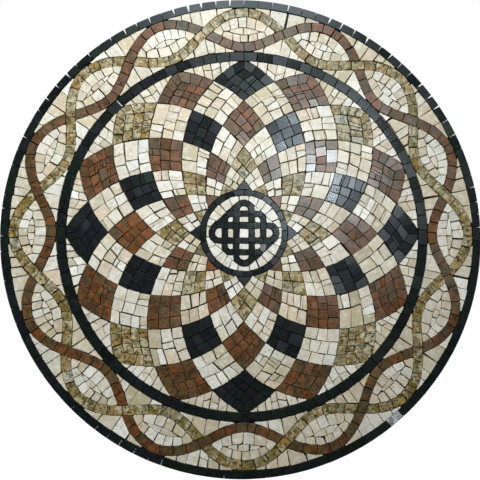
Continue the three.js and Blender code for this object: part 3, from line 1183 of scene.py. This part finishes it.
class MOSAIC_OT_field_ground(bpy.types.Operator):
    """The ivory stones of the wheel: spandrels and three rows of lozenges"""
    bl_idname = "mosaic.field_ground"
    bl_label = "Ivory of the wheel"

    def execute(self, context):
        chance = random.Random(41)
        spandrels = [stone for number in range(PETALS) for stone in spandrel(number, chance)]
        set_piece("spandrel_stones", spandrels, "ivory_marble", 42, "ivory_ground")
        rows_of_lozenges = (
            (2, [(3, 3)], 0.16),
            (4, [(2, 3), (3, 2)], 0.2),
            (6, [(2, 2)], 0.12),
        )
        for row, layouts, slips in rows_of_lozenges:
            stones = []
            for number in range(PETALS):
                at, (rows, count) = lozenge(row, 2 * number + 1), chance.choice(layouts)
                stones += grid(at, ((0, 0), (1, 1)), rows, count, chance, slips)
            set_piece(f"ivory_row_{row}_stones", stones, "ivory_marble", 42 + row, "ivory_ground")
        return {"FINISHED"}


class MOSAIC_OT_points(bpy.types.Operator):
    """The rust and gold points round the centre ring"""
    bl_idname = "mosaic.points"
    bl_label = "Points"

    def execute(self, context):
        rust = [star_point(2 * number) for number in range(2, PETALS, 4)]
        set_piece("rust_point_stones", rust, "rust_marble", 52, "ivory_ground")
        gold = [star_point(2 * number) for number in range(1, PETALS, 2)]
        set_piece("gold_point_stones", gold, "gold_marble", 53, "ivory_ground")
        return {"FINISHED"}


class MOSAIC_OT_knot(bpy.types.Operator):
    """The knot at the centre, the ivory that shows through it and the course round it"""
    bl_idname = "mosaic.knot"
    bl_label = "Knot"

    def execute(self, context):
        # A strand stops on each side of one that passes over it.
        chance = random.Random(61)
        strands = [stone for line in knot_outlines(0) for stone in strand_stones(line, chance)]
        black, ivory = knot_corners()
        pale = Vector((0.0235, -0.0205))
        set_piece("knot_stones", strands + black, "black_marble", 62, "centre_knot", care=0.5,
                  level=0.3, pick=(0.2, 0.55), matt=0.4, marked=[(pale, 0.972)])
        course = centre_course(random.Random(63)) + knot_windows() + ivory
        whitest = (0.72, 1)
        set_piece("knot_ground_stones", course, "ivory_marble", 64, "ivory_ground", pick=whitest)
        return {"FINISHED"}


def softbox(name, place, aim, size, power, lights="both", tint=(1, 1, 1)):
    """A square area light, turned to a point. It lights the "stones", makes "glints", or both."""
    data = bpy.data.lights.new(name, "AREA")
    data.size = size
    data.energy = power
    data.color = tint
    lamp = bpy.data.objects.new(name, data)
    lamp.location = place
    lamp.rotation_euler = (Vector(aim) - Vector(place)).to_track_quat("-Z", "Y").to_euler()
    lamp.visible_glossy = lights != "stones"
    lamp.visible_diffuse = lights != "glints"
    bpy.context.scene.collection.objects.link(lamp)


def white_floor():
    """White floor paint that glows evenly by itself, so that no shade shows on it."""
    material, tree = blank("White floor paint")
    shader = add(tree, "ShaderNodeBsdfPrincipled", {
        "Base Color": (0.8, 0.8, 0.8, 1), "Roughness": 0.7,
        "Emission Color": (1, 1, 1, 1), "Emission Strength": 1.0})
    add(tree, "ShaderNodeOutputMaterial", Surface=shader.outputs[0])
    return material


class MOSAIC_OT_stage(bpy.types.Operator):
    """The white floor and surroundings, the soft lights and the camera, a little low and left"""
    bl_idname = "mosaic.stage"
    bl_label = "Stage"

    def execute(self, context):
        scene = context.scene
        data = bpy.data.cameras.new("Camera")
        camera = bpy.data.objects.new("Camera", data)
        scene.collection.objects.link(camera)
        scene.camera = camera
        # It looks up a little from below and from the left, 1 m from the panel's middle.
        aside, below = math.radians(3.21), math.radians(5.62)
        level = polar(math.cos(below), aside)
        camera.location = (-level.x, -level.y, -math.sin(below))
        aim = Vector((-0.0047, 0, -0.0079))
        camera.rotation_euler = (aim - camera.location).to_track_quat("-Z", "Y").to_euler()
        data.sensor_width = 36
        data.lens = 58.6
        # The panel hangs in an even white room, which the camera sees brighter than it lights.
        world = bpy.data.worlds.new("White room")
        world.use_nodes = True
        scene.world = world
        tree = world.node_tree
        tree.nodes.clear()
        seen = add(tree, "ShaderNodeLightPath").outputs["Is Camera Ray"]
        lit = add(tree, "ShaderNodeBackground", {"Color": (1, 1, 1, 1), "Strength": 0.09})
        white = add(tree, "ShaderNodeBackground", {"Color": (1, 1, 1, 1), "Strength": 1.0})
        mix = add(tree, "ShaderNodeMixShader", Fac=seen)
        tree.links.new(lit.outputs[0], mix.inputs[1])
        tree.links.new(white.outputs[0], mix.inputs[2])
        add(tree, "ShaderNodeOutputWorld", Surface=mix.outputs[0])
        scene.view_settings.view_transform = "Standard"
        softbox("key", (-0.15, -0.764, 0.33), (0, 0, 0), 0.45, 7.3, "stones", (0.975, 0.988, 1))
        daylight = (0.8, 0.93, 1)
        softbox("window", (0.386, -1.97, 0.442), (0.1, 0, 0.1), 0.2, 10, "glints", daylight)
        softbox("skylight", (0.05, -0.9, 0.87), (0, 0, 0.2), 0.55, 6.5, "glints", daylight)
        softbox("fill behind", (0.7, 1.2, 0.5), (0, 0, 0), 0.6, 14)
        # The panel hangs above the floor, which neither lights nor shades it.
        bpy.ops.object.select_all(action="DESELECT")
        bpy.ops.mesh.primitive_plane_add(size=6, location=(0, 0, -0.9))
        floor = context.object
        floor.name = "floor"
        floor.data.materials.append(white_floor())
        floor.visible_diffuse = floor.visible_glossy = floor.visible_shadow = False
        return {"FINISHED"}


class MOSAIC_PT_panel(bpy.types.Panel):
    bl_idname = "MOSAIC_PT_panel"
    bl_label = "Mosaic"
    bl_space_type = "VIEW_3D"
    bl_region_type = "UI"
    bl_category = "Mosaic"

    def draw(self, context):
        for settings in (context.scene.mosaic_sizes, context.scene.mosaic_colours):
            box = self.layout.box()
            for name in settings.__annotations__:
                box.prop(settings, name)
        for operator in OPERATORS:
            self.layout.operator(operator.bl_idname)


SETTINGS = (MosaicSizes, MosaicColours)
OPERATORS = (
    MOSAIC_OT_backing,
    MOSAIC_OT_borders,
    MOSAIC_OT_ribbons,
    MOSAIC_OT_band_ground,
    MOSAIC_OT_lozenges,
    MOSAIC_OT_field_ground,
    MOSAIC_OT_points,
    MOSAIC_OT_knot,
    MOSAIC_OT_stage,
)


def register():
    for cls in (*SETTINGS, *OPERATORS, MOSAIC_PT_panel):
        bpy.utils.register_class(cls)
    bpy.types.Scene.mosaic_sizes = bpy.props.PointerProperty(type=MosaicSizes)
    bpy.types.Scene.mosaic_colours = bpy.props.PointerProperty(type=MosaicColours)


def unregister():
    del bpy.types.Scene.mosaic_colours
    del bpy.types.Scene.mosaic_sizes
    for cls in (MOSAIC_PT_panel, *reversed(OPERATORS), *reversed(SETTINGS)):
        bpy.utils.unregister_class(cls)


def main():
    register()
    bpy.ops.mosaic.stage()
    bpy.ops.mosaic.backing()
    bpy.ops.mosaic.borders()
    bpy.ops.mosaic.ribbons()
    bpy.ops.mosaic.band_ground()
    bpy.ops.mosaic.lozenges()
    bpy.ops.mosaic.field_ground()
    bpy.ops.mosaic.points()
    bpy.ops.mosaic.knot()


if __name__ == "__main__":
    main()
